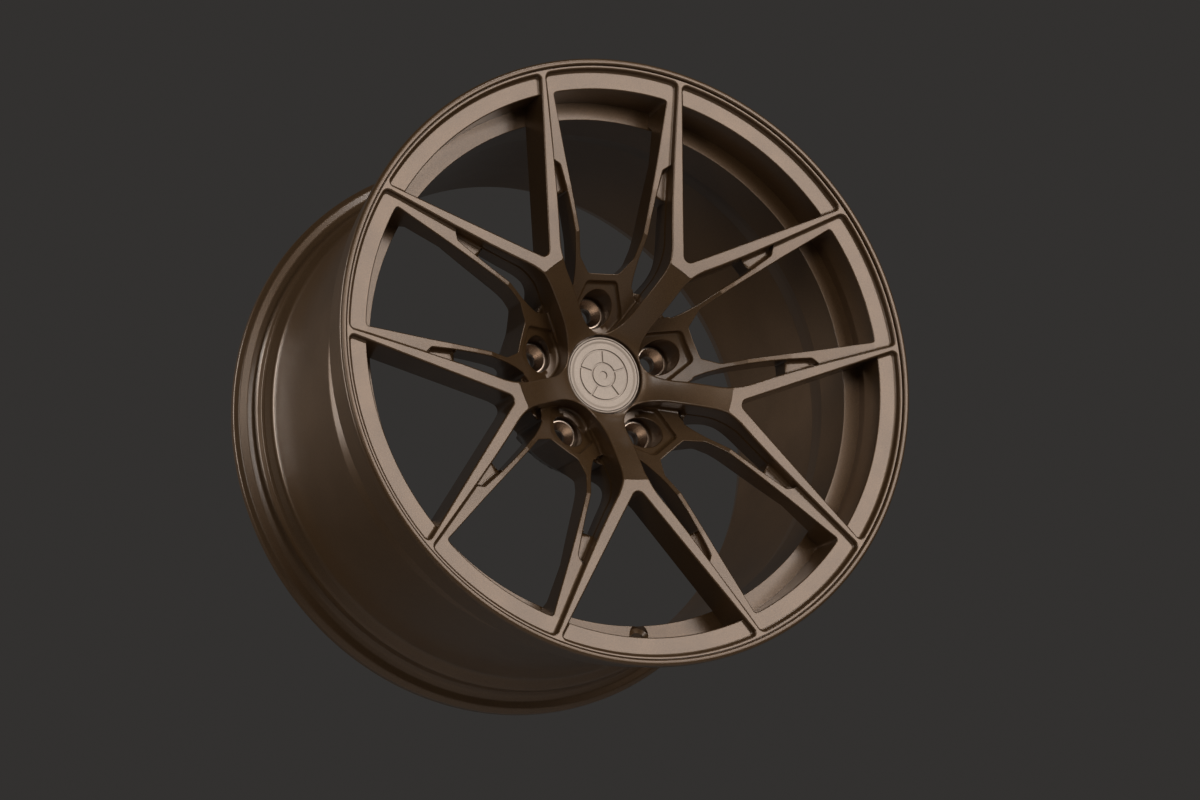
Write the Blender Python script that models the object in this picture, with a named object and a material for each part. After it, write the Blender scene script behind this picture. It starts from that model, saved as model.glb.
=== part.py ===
# Forged racing wheel rim, 18 x 10J, five forked spokes, with lug seats and a centre cap.
# Frame: wheel axis along Y, street side towards -Y, +Z up, origin on the axis at mid width.
# Depths below ("d") are in millimetres behind the front lip plane; radii are in millimetres.
import bpy
import math
import numpy as np
from mathutils import Vector
from mathutils.geometry import delaunay_2d_cdt

WIDTH = 283.0            # overall width, lip to lip
MID = WIDTH / 2.0        # depth of the origin plane
R_LIP = 248.3            # outer radius of both flanges (18 inch seat + 17.3 mm J flange)
R_SEAT = 231.0           # bead seat radius
R_BAND_OUT = 239.2       # ring band, outer edge
R_BAND_IN = 224.6        # ring band, inner edge
D_LEDGE = 42.5           # front face of the drop centre
R_WELL_IN = 210.0        # inside of the drop centre
PCD = 114.3              # stud circle diameter
R_LUG = PCD / 2.0
R_POCKET_BORE = 14.2     # socket bore radius
R_INSERT = 12.9          # lug seat insert, outer radius
R_CONE = 10.6            # top of the 60 degree seat cone
R_STUD = 6.75            # stud clearance hole radius
POCKET_DROP = 4.5        # nut pocket floor below the lug frame's face
D_POCKET_MOST = 81.0     # deepest level of that floor, on the hub side
D_SEAT_TOP = 86.9        # street-side edge of the seat insert
D_SHELF = 88.5           # shelf round the insert
D_INSERT = 98.0          # bottom of the insert
D_PAD = 106.5            # hub mounting pad
R_PAD = 78.0
R_HUB_BORE = 36.55       # 73.1 mm centre bore
D_BORE_FLOOR = 84.0
R_CAP = 32.1             # centre cap face
R_CAP_RECESS = 33.2
R_CLIP_BORE = 29.8
D_CAP_FACE = 65.8
D_CAP_SEAT = 71.0
VALVE_R = 218.0          # radius of the valve hole centre on the ledge
VALVE_HOLE = 5.65
VALVE_TILT = 32.0
D_BAND_BACK = 11.7       # back of the ring band segments
FLOOR_DROP = 7.0         # slot floors below the lug frame's face
D_CLIP_END = 82.6        # inner end of the cap's clips
GAP = 0.15               # half of the gap kept between neighbouring solids
SEG = 64                 # divisions of the turned rings
ARMS = 5
PITCH = 72.0
LUG0 = 90.0              # first lug direction
SPOKE0 = -90.0           # first main spoke direction

BRONZE = (0.235, 0.155, 0.105, 1.0)
STEEL = (0.33, 0.24, 0.18, 1.0)
CAP = (0.42, 0.34, 0.28, 1.0)
BLACK = (0.02, 0.02, 0.022, 1.0)
SPRING = (0.45, 0.45, 0.46, 1.0)

for ob in list(bpy.data.objects):
    bpy.data.objects.remove(ob, do_unlink=True)


# ---------------------------------------------------------------- materials and objects
def material(name, colour, rough, metal):
    mat = bpy.data.materials.new(name)
    mat.use_nodes = True
    bsdf = mat.node_tree.nodes["Principled BSDF"]
    bsdf.inputs["Base Color"].default_value = colour
    bsdf.inputs["Roughness"].default_value = rough
    bsdf.inputs["Metallic"].default_value = metal
    return mat


def make_object(name, verts, faces, colour, rough, metal):
    mesh = bpy.data.meshes.new(name)
    mesh.from_pydata([tuple(v) for v in verts], [], [tuple(f) for f in faces])
    mesh.validate()
    mesh.update()
    ob = bpy.data.objects.new(name, mesh)
    bpy.context.scene.collection.objects.link(ob)
    mesh.materials.append(material(name + "_finish", colour, rough, metal))
    mesh.shade_smooth()
    mesh.set_sharp_from_angle(angle=math.radians(28))
    return ob


def place(x, d, z):
    return (x * 0.001, (d - MID) * 0.001, z * 0.001)


# ---------------------------------------------------------------- turned rings
def turned(name, profile, colour, rough, metal, seg=SEG):
    # profile: closed list of (radius, depth)
    pts = np.array(profile, float)
    n = len(pts)
    verts = []
    faces = []
    for i in range(seg):
        a = 2.0 * math.pi * i / seg
        for r, d in pts:
            verts.append(place(r * math.cos(a), d, r * math.sin(a)))
    for i in range(seg):
        j = (i + 1) % seg
        for k in range(n):
            m = (k + 1) % n
            faces.append((i * n + k, i * n + m, j * n + m, j * n + k))
    ob = make_object(name, verts, faces, colour, rough, metal)
    return fix_normals(ob)


def signed_volume(mesh):
    mesh.calc_loop_triangles()
    total = 0.0
    for t in mesh.loop_triangles:
        a, b, c = (mesh.vertices[i].co for i in t.vertices)
        total += a.dot(b.cross(c)) / 6.0
    return total


def fix_normals(ob):
    if signed_volume(ob.data) < 0.0:
        ob.data.flip_normals()
        ob.data.update()
    return ob


# ---------------------------------------------------------------- profiles over the radius
def front_a(r):
    xs = [0.0, 36.0, 40.0, 44.0, 50.0, 57.0, 69.0, 80.0, 96.5, 248.0]
    ys = [62.4, 62.4, 60.0, 57.0, 52.2, 46.6, 38.2, 31.6, 22.6, 0.8]
    return float(np.interp(r, xs, ys))


def front_b(r):
    xs = [44.0, 75.0, 82.0, 92.0, 104.0, 113.5, 127.0, 150.0, 224.6, 240.0]
    ys = [77.4, 55.3, 50.2, 43.0, 34.4, 28.2, 25.2, 20.8, 8.8, 7.4]
    return float(np.interp(r, xs, ys))


def back_all(r):
    xs = [R_PAD, 78.6, 86.0, 93.0, 100.0, 110.0, 150.0, 192.0, 203.0, 208.0, 212.0]
    ys = [D_PAD, 104.0, 84.0, 70.0, 61.0, 55.0, 43.0, 30.4, 31.5, 36.0, D_LEDGE - 0.3]
    return float(np.interp(r, xs, ys))


# radii where one of the surfaces bends: the plan mesh gets points there
BENDS = [42.0, 50.0, 57.0, 69.0, R_PAD, 86.0, 93.0, 100.0, 113.5, 150.0, 192.0, 203.0, 212.0,
         R_BAND_IN - 0.35]


# ---------------------------------------------------------------- plan outlines
SPOKE_EDGE = [(60.0, 9.8), (75.0, 9.9), (88.0, 10.0), (95.0, 11.2), (102.0, 14.0), (108.0, 17.3),
              (121.0, 26.3), (140.0, 38.7), (170.0, 57.2), (204.0, 77.6), (221.6, 88.3)]
SCALLOP = [(34.6, 0.0), (35.2, 5.0), (37.0, 10.0), (39.6, 14.4), (43.6, 19.0), (48.2, 23.1)]
INNER_DIR = math.radians(34.7)   # arms leave the fork at this angle to the spoke axis
INNER_S = 102.3                  # where the two inner edges would meet
FORK_R = 5.6


def to_lug(s, w):
    # spoke direction stands half a pitch from the lug direction; w towards the lug
    c = math.cos(math.radians(PITCH / 2.0))
    n = math.sin(math.radians(PITCH / 2.0))
    return (s * c + w * n, s * n - w * c)


def rot(pts, deg):
    # turns plan points about the wheel axis
    a = math.radians(deg)
    c = math.cos(a)
    s = math.sin(a)
    return [(x * c - y * s, x * s + y * c) for x, y in pts]


def arc_pts(radius, a0, a1, n):
    out = []
    for i in range(n + 1):
        a = math.radians(a0 + (a1 - a0) * i / n)
        out.append((radius * math.cos(a), radius * math.sin(a)))
    return out


def shift(pts, dist):
    # moves a closed counter-clockwise loop outwards (dist > 0) along its corner normals
    p = np.array(pts, float)
    a = p - np.roll(p, 1, axis=0)
    b = np.roll(p, -1, axis=0) - p
    na = np.stack([a[:, 1], -a[:, 0]], -1)
    nb = np.stack([b[:, 1], -b[:, 0]], -1)
    na /= np.linalg.norm(na, axis=1)[:, None]
    nb /= np.linalg.norm(nb, axis=1)[:, None]
    m = na + nb
    m /= np.maximum((m * na).sum(1), 0.35)[:, None]
    return [tuple(q) for q in (p + m * dist)]


def area(pts):
    p = np.array(pts)
    q = np.roll(p, -1, axis=0)
    return 0.5 * float((p[:, 0] * q[:, 1] - q[:, 0] * p[:, 1]).sum())


def lug_cell():
    # wall between a lug frame and the raised spokes round it, counter-clockwise
    half = list(SCALLOP) + [to_lug(s, w) for s, w in SPOKE_EDGE]
    end = half[-1]
    a_end = math.degrees(math.atan2(end[1], end[0]))
    lip = arc_pts(R_BAND_OUT - 0.1, -a_end + 0.9, a_end - 0.9, 8)
    low = [(u, -v) for u, v in half if v > 1e-9]
    # from the lip end of the lower edge round the lip to the upper edge, back to the hub
    loop = list(low) + lip + half[::-1]
    return loop


def lug_window():
    half = [(81.4, 12.9), (84.5, 16.8), (91.6, 23.0), (97.0, 25.0), (104.5, 27.0), (121.0, 30.8),
            (170.0, 41.1), (202.0, 47.3), (214.5, 49.6), (218.0, 48.9), (219.6, 46.2)]
    a_end = math.degrees(math.atan2(46.2, 219.6))
    rim = arc_pts(R_BAND_IN, -a_end + 0.7, a_end - 0.7, 6)
    low = [(u, -v) for u, v in half]
    return low + rim + half[::-1]


def slot(side):
    # through slot between the lug frame's arm and the main arm, on the v > 0 side
    pts = [(70.6, 31.6), (68.6, 28.2), (73.0, 25.9), (78.5, 26.4), (91.5, 28.2), (107.5, 32.2),
           (125.0, 36.0), (141.0, 40.2)]
    back = []
    for s, w in [(175.0, 60.2), (160.0, 51.0), (140.0, 38.7), (121.0, 26.3), (108.0, 17.3),
                 (100.0, 13.1), (92.0, 10.4), (84.0, 9.9), (78.0, 9.9)]:
        u, v = to_lug(s, w - 1.5)
        if u < 141.5:
            back.append((u, v))
    loop = pts + back
    if side < 0:
        loop = [(u, -v) for u, v in loop][::-1]
    if area(loop) < 0:
        loop = loop[::-1]
    return loop


def slot_floor(side):
    pts = [(141.6, 40.4), (155.0, 44.3), (161.5, 46.4), (163.6, 49.3)]
    back = []
    for u, v in [to_lug(172.6, 57.3), to_lug(160.0, 49.5), to_lug(153.4, 45.5)]:
        back.append((u, v))
    loop = pts + back
    if side < 0:
        loop = [(u, -v) for u, v in loop][::-1]
    if area(loop) < 0:
        loop = loop[::-1]
    return loop


def pocket():
    # hexagonal pocket round the nut, open towards the hub
    half = [(32.0, 8.7), (42.0, 16.2), (50.0, 22.2), (56.0, 20.9), (73.2, 14.5), (76.0, 11.0)]
    low = [(u, -v) for u, v in half]
    return low + half[::-1]


def ring(cx, cy, radius, n, turn=0.0):
    out = []
    for i in range(n):
        a = 2.0 * math.pi * (i + turn) / n
        out.append((cx + radius * math.cos(a), cy + radius * math.sin(a)))
    return out


# ---------------------------------------------------------------- solids with stepped levels
def inside(loop, pts):
    p = np.array(loop)
    q = np.roll(p, -1, axis=0)
    x = pts[:, 0][:, None]
    y = pts[:, 1][:, None]
    cross = ((p[:, 1] > y) != (q[:, 1] > y))
    den = np.where(q[:, 1] == p[:, 1], 1e-12, q[:, 1] - p[:, 1])
    xin = p[:, 0] + (y - p[:, 1]) * (q[:, 0] - p[:, 0]) / den
    return ((cross & (x < xin)).sum(1) % 2) == 1


def bend_points(loops, clear):
    # points on the circles where a surface bends, kept clear of every outline
    segs = []
    for lp in loops:
        p = np.array(lp)
        q = np.roll(p, -1, axis=0)
        for a, b in zip(p, q):
            segs.append((a[0], a[1], b[0], b[1]))
    s = np.array(segs)
    out = []
    for r in BENDS:
        n = max(24, int(2 * math.pi * r / 11.0))
        for i in range(n):
            a = 2 * math.pi * i / n
            x = r * math.cos(a)
            y = r * math.sin(a)
            dx = s[:, 2] - s[:, 0]
            dy = s[:, 3] - s[:, 1]
            t = ((x - s[:, 0]) * dx + (y - s[:, 1]) * dy) / (dx * dx + dy * dy)
            t = np.clip(t, 0, 1)
            dist = np.hypot(x - s[:, 0] - t * dx, y - s[:, 1] - t * dy)
            if dist.min() > clear:
                out.append((x, y))
    return out


def split_at_bends(loop):
    # adds a vertex wherever an outline crosses a bend circle
    out = []
    n = len(loop)
    for i in range(n):
        a = np.array(loop[i])
        b = np.array(loop[(i + 1) % n])
        out.append(tuple(a))
        hits = []
        d = b - a
        aa = float(d @ d)
        for r in BENDS:
            bb = 2 * float(a @ d)
            cc = float(a @ a) - r * r
            disc = bb * bb - 4 * aa * cc
            if disc <= 0:
                continue
            for sgn in (-1, 1):
                t = (-bb + sgn * math.sqrt(disc)) / (2 * aa)
                if 0.06 < t < 0.94:
                    hits.append(t)
        hits.sort()
        last = 0.0
        for t in hits:
            if t - last > 0.06:
                out.append(tuple(a + d * t))
                last = t
    return out


def levelled(name, loops, label, front, back, turn, colour, rough, metal):
    # loops: outlines in the local plan; label(pts) -> region id per point, -1 for no material;
    # front(region, r) and back(region, r) give the depths of the two faces.
    loops = [split_at_bends(lp) for lp in loops]
    verts = []
    edges = []
    for lp in loops:
        base = len(verts)
        verts += [Vector(p) for p in lp]
        m = len(lp)
        edges += [(base + i, base + (i + 1) % m) for i in range(m)]
    for p in bend_points(loops, 1.6):
        verts.append(Vector(p))
    res = delaunay_2d_cdt(verts, edges, [], 0, 1e-5)
    pv = np.array([tuple(v) for v in res[0]])
    tris = np.array([f for f in res[2] if len(f) == 3])
    cent = pv[tris].mean(1)
    lab = label(cent)
    keep = lab >= 0
    tris = tris[keep]
    lab = lab[keep]
    ab = pv[tris[:, 1]] - pv[tris[:, 0]]
    ac = pv[tris[:, 2]] - pv[tris[:, 0]]
    flip = (ab[:, 0] * ac[:, 1] - ab[:, 1] * ac[:, 0]) < 0
    tris[flip] = tris[flip][:, ::-1]
    rad = np.hypot(pv[:, 0], pv[:, 1])
    levels = {}
    for t, g in zip(tris, lab):
        for v in t:
            f = round(front(g, rad[v]), 4)
            b = round(back(g, rad[v], math.hypot(*cent_of(pv, t))), 4)
            levels.setdefault(int(v), set()).update((f, b))
    index = {}
    out = []
    ca = math.cos(math.radians(turn))
    sa = math.sin(math.radians(turn))

    def vid(v, depth):
        key = (int(v), round(depth, 4))
        if key not in index:
            index[key] = len(out)
            x, y = pv[v]
            out.append(place(x * ca - y * sa, depth, x * sa + y * ca))
        return index[key]

    faces = []
    owner = {}
    for k, (t, g) in enumerate(zip(tris, lab)):
        rc = math.hypot(*cent_of(pv, t))
        fr = [front(g, rad[v]) for v in t]
        bk = [back(g, rad[v], rc) for v in t]
        faces.append([vid(t[i], fr[i]) for i in range(3)])
        faces.append([vid(t[i], bk[i]) for i in (2, 1, 0)])
        for i in range(3):
            a = int(t[i])
            b = int(t[(i + 1) % 3])
            owner[(a, b)] = (fr[i], fr[(i + 1) % 3], bk[i], bk[(i + 1) % 3])

    def column(v, lo, hi):
        mid = [h for h in sorted(levels[v]) if lo + 1e-3 < h < hi - 1e-3]
        return [lo] + mid + [hi]

    def wall(a, b, a0, a1, b0, b1):
        # wall on the outside of edge a->b between depths a0..a1 at a and b0..b1 at b
        ca_ = column(a, a0, a1) if a1 - a0 > 1e-3 else [a0]
        cb_ = column(b, b0, b1) if b1 - b0 > 1e-3 else [b0]
        poly = [vid(a, h) for h in ca_] + [vid(b, h) for h in cb_[::-1]]
        if len(poly) >= 3:
            faces.append(poly)

    for (a, b), (fa, fb, ba, bb) in owner.items():
        other = owner.get((b, a))
        if other is None:
            wall(a, b, fa, ba, fb, bb)
            continue
        ofb, ofa, obb, oba = other
        if ofa - fa > 1e-3 or ofb - fb > 1e-3:
            wall(a, b, fa, ofa, fb, ofb)
        if ba - oba > 1e-3 or bb - obb > 1e-3:
            wall(a, b, oba, ba, obb, bb)
    ob = make_object(name, out, faces, colour, rough, metal)
    return fix_normals(ob)


def cent_of(pv, t):
    c = pv[list(t)].mean(0)
    return (c[0], c[1])


# ---------------------------------------------------------------- barrel rings
turned("front_flange", [
    (243.2, 1.2), (244.4, 0.2), (245.6, 0.0), (247.2, 0.6), (R_LIP, 2.6), (R_LIP, 5.4),
    (246.8, 9.0), (243.6, 11.9), (239.0, 13.3), (234.6, 15.2), (232.0, 18.6), (R_SEAT, 23.0),
    (229.8, 37.0), (230.2, 39.4), (229.4, 42.2), (R_BAND_IN, 42.2), (R_BAND_IN, 12.0),
    (R_BAND_OUT + 0.2, 12.0), (R_BAND_OUT + 0.2, 7.6), (240.6, 3.4), (242.4, 2.6),
], BRONZE, 0.34, 0.9)

turned("barrel_wall", [
    (221.4, 108.3), (221.9, 180.0), (222.2, 245.7), (217.2, 245.7), (217.0, 180.0), (216.6, 108.3),
], BRONZE, 0.42, 0.9)

turned("rear_flange", [
    (222.2, 246.0), (224.6, 247.6), (229.4, 250.6), (230.7, 252.6), (230.0, 255.2),
    (R_SEAT, 262.0), (232.2, 266.2), (235.2, 269.0), (239.0, 270.0), (243.6, 271.3),
    (246.8, 274.3), (R_LIP, 278.0), (R_LIP, 280.8), (247.0, 282.8), (245.4, WIDTH),
    (243.2, 281.6), (240.0, 278.8), (234.6, 276.0), (228.4, 272.6), (224.6, 266.0),
    (220.0, 255.0), (217.2, 246.0),
], BRONZE, 0.36, 0.9)

well = turned("drop_centre", [
    (R_WELL_IN, D_LEDGE), (229.2, D_LEDGE), (228.4, 45.0), (219.4, 53.6), (215.8, 58.0),
    (215.6, 84.0), (217.2, 92.0), (221.4, 108.0), (216.6, 108.0), (211.6, 90.0),
    (R_WELL_IN, 82.0),
], BRONZE, 0.38, 0.9)

# valve hole: drilled from the ledge outwards into the tyre side at six o'clock
tilt = math.radians(VALVE_TILT)
hole_v = []
hole_f = []
for i in range(20):
    a = 2.0 * math.pi * i / 20
    cx = VALVE_HOLE * math.cos(a)
    cy = VALVE_HOLE * math.sin(a)
    for t in (22.0, -9.0):
        d = D_LEDGE + t * math.cos(tilt) - cy * math.sin(tilt)
        r = VALVE_R + t * math.sin(tilt) + cy * math.cos(tilt)
        hole_v.append(place(cx, d, -r))
for i in range(20):
    j = (i + 1) % 20
    hole_f.append((2 * i, 2 * i + 1, 2 * j + 1, 2 * j))
hole_f.append([2 * i for i in range(20)])
hole_f.append([2 * i + 1 for i in range(20)][::-1])
drill = make_object("cutter_valve_hole", hole_v, hole_f, BLACK, 0.5, 0.0)
fix_normals(drill)
drill.hide_render = True
drill.display_type = "WIRE"
cut = well.modifiers.new("valve_hole", "BOOLEAN")
cut.operation = "DIFFERENCE"
cut.solver = "EXACT"
cut.object = drill


# ---------------------------------------------------------------- hub
def hub_loop():
    pts = []
    for k in range(ARMS):
        lug = LUG0 + k * PITCH
        sc = [(u, v) for u, v in SCALLOP[:-1]]
        low = [(u, -v) for u, v in sc if v > 1e-9]
        one = low[::-1] + sc
        one = [(u - 0.3, v) for u, v in one]
        pts += rot(one, lug)
        tip = rot([(50.8, -9.4), (50.8, 9.4)], lug + 36.0)
        pts += tip
    if area(pts) < 0:
        pts = pts[::-1]
    return pts


HUB_LOOP = hub_loop()
HUB_RINGS = [ring(0, 0, R_CAP_RECESS, 48), ring(0, 0, R_CLIP_BORE, 48)]


def hub_label(c):
    lab = np.where(inside(HUB_LOOP, c), 0, -1)
    lab[inside(HUB_RINGS[0], c)] = 1
    lab[inside(HUB_RINGS[1], c)] = -1
    return lab


def hub_front(g, r):
    return D_CAP_SEAT if g == 1 else front_a(r)


def hub_back(g, r, rc):
    return D_BORE_FLOOR if rc < R_HUB_BORE else D_PAD


levelled("hub_centre", [HUB_LOOP] + HUB_RINGS + [ring(0, 0, R_HUB_BORE, 60)], hub_label, hub_front,
         hub_back, 0.0, BRONZE, 0.38, 0.9)


# ---------------------------------------------------------------- forked spokes
def spoke_outer():
    # outline of one forked spoke with its ring band segment, spoke axis along +x
    edge = [(51.0, 9.8)] + [(s, w) for s, w in SPOKE_EDGE]
    end = edge[-1]
    a_end = math.degrees(math.atan2(end[1], end[0]))
    up = list(edge)
    up.append((R_BAND_OUT * math.cos(math.radians(a_end + 0.05)),
               R_BAND_OUT * math.sin(math.radians(a_end + 0.05))))
    lip = arc_pts(R_BAND_OUT - 0.1, a_end - 1.4, -a_end + 1.4, 10)
    low = [(s, -w) for s, w in up]
    loop = up + lip + low[::-1]
    if area(loop) < 0:
        loop = loop[::-1]
    return shift(loop, -GAP)


def kite_cell():
    t = INNER_DIR
    pts = []
    # rounded fork corner
    centre = INNER_S + FORK_R / math.sin(t)
    for i in range(5):
        a = math.pi - (math.pi / 2 - t) + (math.pi - 2 * t) * i / 4.0
        pts.append((centre + FORK_R * math.cos(a), FORK_R * math.sin(a)))
    far = 214.6
    w_far = (far - INNER_S) * math.tan(t)
    return pts, far, w_far


def kite_window():
    pts, far, w_far = kite_cell()
    a_end = math.degrees(math.asin(min(0.99, (w_far + 2.0) / R_BAND_IN))) - 0.7
    rim = arc_pts(R_BAND_IN, -a_end, a_end, 8)
    s_in = 207.0
    w_in = (s_in - INNER_S) * math.tan(INNER_DIR)
    loop = pts + [(s_in, -w_in)] + rim + [(s_in, w_in)]
    if area(loop) < 0:
        loop = loop[::-1]
    return loop


def kite_band():
    # sunk ring band between the two arms: a strip that starts at the window's rim side
    a_in = math.degrees(math.asin(81.4 / 229.0))
    outer = arc_pts(R_BAND_OUT - 1.2, a_in, -a_in, 8)
    inner = arc_pts(R_BAND_IN + 0.6, -a_in, a_in, 8)
    loop = outer + inner
    if area(loop) < 0:
        loop = loop[::-1]
    return loop


SPOKE_LOOPS = [spoke_outer(), kite_window(), kite_band()]


def spoke_label(c):
    lab = np.where(inside(SPOKE_LOOPS[0], c), 0, -1)
    lab[inside(SPOKE_LOOPS[2], c) & (lab == 0)] = 1
    lab[inside(SPOKE_LOOPS[1], c)] = -1
    return lab


def spoke_front(g, r):
    return front_b(r) if g == 1 else front_a(r)


def spoke_back(g, r, rc):
    return D_BAND_BACK if rc > R_BAND_IN - 0.35 else back_all(r)


for k in range(ARMS):
    levelled("forked_spoke_%d" % (k + 1), SPOKE_LOOPS, spoke_label, spoke_front, spoke_back,
             SPOKE0 + k * PITCH, BRONZE, 0.34, 0.9)


# ---------------------------------------------------------------- lug frames
CELL = lug_cell()
if area(CELL) < 0:
    CELL = CELL[::-1]
CELL = shift(CELL, -GAP)
WINDOW = lug_window()
POCKET = pocket()
BORE = ring(R_LUG, 0, R_POCKET_BORE, 24, 0.5)
SEATBORE = ring(R_LUG, 0, R_INSERT + 0.3, 24, 0.5)
STUD = ring(R_LUG, 0, R_STUD + 0.65, 16, 0.5)
SLOTS = [slot(1), slot(-1)]
FLOORS = [slot_floor(1), slot_floor(-1)]


BORE_EDGE = ring(0, 0, R_HUB_BORE + 0.3, 60)
LUG_LOOPS = [CELL, WINDOW, POCKET, BORE, SEATBORE, STUD, BORE_EDGE] + SLOTS + FLOORS


def lug_label(c):
    lab = np.where(inside(CELL, c), 0, -1)
    lab[(lab == 0) & inside(POCKET, c)] = 1
    lab[inside(BORE, c)] = 2
    lab[inside(SEATBORE, c)] = 3
    lab[inside(STUD, c)] = -1
    for f in FLOORS:
        lab[(lab == 0) & inside(f, c)] = 4
    for s in SLOTS:
        lab[inside(s, c)] = -1
    lab[inside(WINDOW, c)] = -1
    return lab


def lug_front(g, r):
    if g == 1:
        return min(front_b(r) + POCKET_DROP, D_POCKET_MOST)
    if g == 2:
        return D_SHELF
    if g == 3:
        return D_INSERT + 0.3
    if g == 4:
        return front_b(r) + FLOOR_DROP
    return front_b(r)


def lug_back(g, r, rc):
    if rc > R_BAND_IN - 0.35:
        return D_BAND_BACK
    return D_BORE_FLOOR - 0.3 if rc < R_HUB_BORE + 0.3 else back_all(r)


for k in range(ARMS):
    levelled("lug_frame_%d" % (k + 1), LUG_LOOPS, lug_label, lug_front, lug_back,
             LUG0 + k * PITCH, BRONZE, 0.36, 0.9)


# ---------------------------------------------------------------- lug seat inserts
def moved(ob, angle):
    a = math.radians(angle)
    dx = R_LUG * math.cos(a) * 0.001
    dz = R_LUG * math.sin(a) * 0.001
    for v in ob.data.vertices:
        v.co.x += dx
        v.co.z += dz
    return ob


for k in range(ARMS):
    seat = turned("lug_seat_%d" % (k + 1), [
        (R_INSERT, D_INSERT), (R_INSERT, 87.6), (R_INSERT - 0.5, D_SEAT_TOP), (R_CONE + 0.7, D_SEAT_TOP),
        (R_CONE, 88.4), (R_STUD, 95.1), (R_STUD, D_INSERT),
    ], STEEL, 0.28, 0.95, 24)
    moved(seat, LUG0 + k * PITCH)


# ---------------------------------------------------------------- centre cap
CLIPS = 8
CLIP_SPAN = 24.0
R_CLIP_OUT = 29.5
R_CLIP_IN = 27.9
R_BADGE = 30.1


def clip_loop(k):
    mid = 360.0 * k / CLIPS
    out = arc_pts(R_CLIP_OUT, mid - CLIP_SPAN / 2, mid + CLIP_SPAN / 2, 3)
    inn = arc_pts(R_CLIP_IN, mid + CLIP_SPAN / 2, mid - CLIP_SPAN / 2, 3)
    return out + inn


CLIP_LOOPS = [clip_loop(k) for k in range(CLIPS)]
CAP_LOOPS = [ring(0, 0, R_CAP, 48), ring(0, 0, R_BADGE + 0.3, 48)] + CLIP_LOOPS


def cap_label(c):
    lab = np.where(inside(CAP_LOOPS[0], c), 0, -1)
    lab[inside(CAP_LOOPS[1], c)] = 1
    for lp in CLIP_LOOPS:
        lab[inside(lp, c)] = 2
    return lab


levelled("cap_body", CAP_LOOPS, cap_label,
         lambda g, r: D_CAP_FACE if g == 0 else D_CAP_FACE + 1.5,
         lambda g, r, rc: D_CLIP_END if g == 2 else D_CAP_SEAT - 0.3, 0.0, CAP, 0.4, 0.8)

levelled("cap_badge", [ring(0, 0, R_BADGE, 48), ring(0, 0, 26.5, 48)],
         lambda c: np.where(inside(ring(0, 0, R_BADGE, 48), c), 0, -1),
         lambda g, r: D_CAP_FACE + (0.2 if r < 27.0 else 0.5),
         lambda g, r, rc: D_CAP_FACE + 1.2, 0.0, CAP, 0.38, 0.85)

wire = []
WIRE_R = 0.75
WIRE_RING = R_CLIP_IN - 0.3 - WIRE_R
for i in range(6):
    a = 2.0 * math.pi * i / 6
    wire.append((WIRE_RING + WIRE_R * math.cos(a), 78.5 + WIRE_R * math.sin(a)))
turned("cap_spring_ring", wire, SPRING, 0.3, 1.0, 32)
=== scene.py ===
# Looks for a forged racing wheel rim: a machined monoblock face, a turned barrel, five lug seats
# and a centre cap, in satin bronze.
# Plan shapes are in millimetres; "depth" runs backwards from the front lip plane.
import math

import bpy
import numpy as np
from mathutils import Matrix, Vector
from mathutils.geometry import delaunay_2d_cdt


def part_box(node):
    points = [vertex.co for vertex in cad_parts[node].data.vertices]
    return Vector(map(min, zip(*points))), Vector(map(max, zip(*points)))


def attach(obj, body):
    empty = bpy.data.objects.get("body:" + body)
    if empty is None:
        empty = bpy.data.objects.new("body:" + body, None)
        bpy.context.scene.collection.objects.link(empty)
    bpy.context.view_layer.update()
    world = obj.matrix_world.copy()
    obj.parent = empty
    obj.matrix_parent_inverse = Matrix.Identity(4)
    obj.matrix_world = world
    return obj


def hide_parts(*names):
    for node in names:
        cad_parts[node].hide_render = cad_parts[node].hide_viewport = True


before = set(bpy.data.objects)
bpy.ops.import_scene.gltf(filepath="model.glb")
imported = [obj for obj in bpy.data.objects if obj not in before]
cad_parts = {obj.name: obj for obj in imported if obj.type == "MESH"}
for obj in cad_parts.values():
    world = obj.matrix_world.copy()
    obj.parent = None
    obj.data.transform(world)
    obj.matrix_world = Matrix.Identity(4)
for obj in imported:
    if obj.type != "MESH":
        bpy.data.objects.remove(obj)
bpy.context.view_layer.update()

# ---------------------------------------------------------------- driving dimensions (mm)
FRONT_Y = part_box("front_flange")[0].y * 1000.0
LUGS = 5
PITCH = 360.0 / LUGS
HALF = PITCH / 2.0
LUG_START = 90.0
R_LUG = 114.3 / 2.0
R_FACE_EDGE = 242.5      # outer edge of the machined face, at the lip groove
R_LAND_IN = 239.9        # wall between the lip land and the sunk ring band
R_BAND_IN = 224.6        # inner edge of the ring band
R_CREASE = 96.5          # edge between the dished hub and the flatter spokes
R_WEB_CREASE = 113.5
R_PAD = 78.0             # edge of the mounting pad at the back
R_BACK_END = 213.0       # where the spokes' backs run out at the ledge
R_RECESS = 33.2          # recess that takes the cap
R_CLIP_BORE = 29.8
R_HUB_BORE = 36.55
R_SOCKET = 14.2
R_SEAT_BORE = 13.1
R_STUD_BORE = 7.4
POCKET_DROP = 4.5        # depth of the nut pockets below the lug frame
D_POCKET_MOST = 81.0
D_SHELF = 88.5
D_SEAT_BORE = 98.3
D_CAP_SEAT = 71.0
D_BORE_FLOOR = 84.0
D_PAD = 106.5
D_LEDGE = 42.5
FLOOR_DROP = 7.0         # how far the slot floors lie below the lug frame
STEP_LINE = 0.6          # width of the machining step along a spoke wall
VALVE_R = 218.0
VALVE_TILT = 32.0

# region labels of the plan
VOID, RAISED, FRAME, POCKET, SHELF, BORE, WEB, RECESS = -1, 0, 1, 2, 3, 4, 5, 6
OUTSIDE = -9


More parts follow.
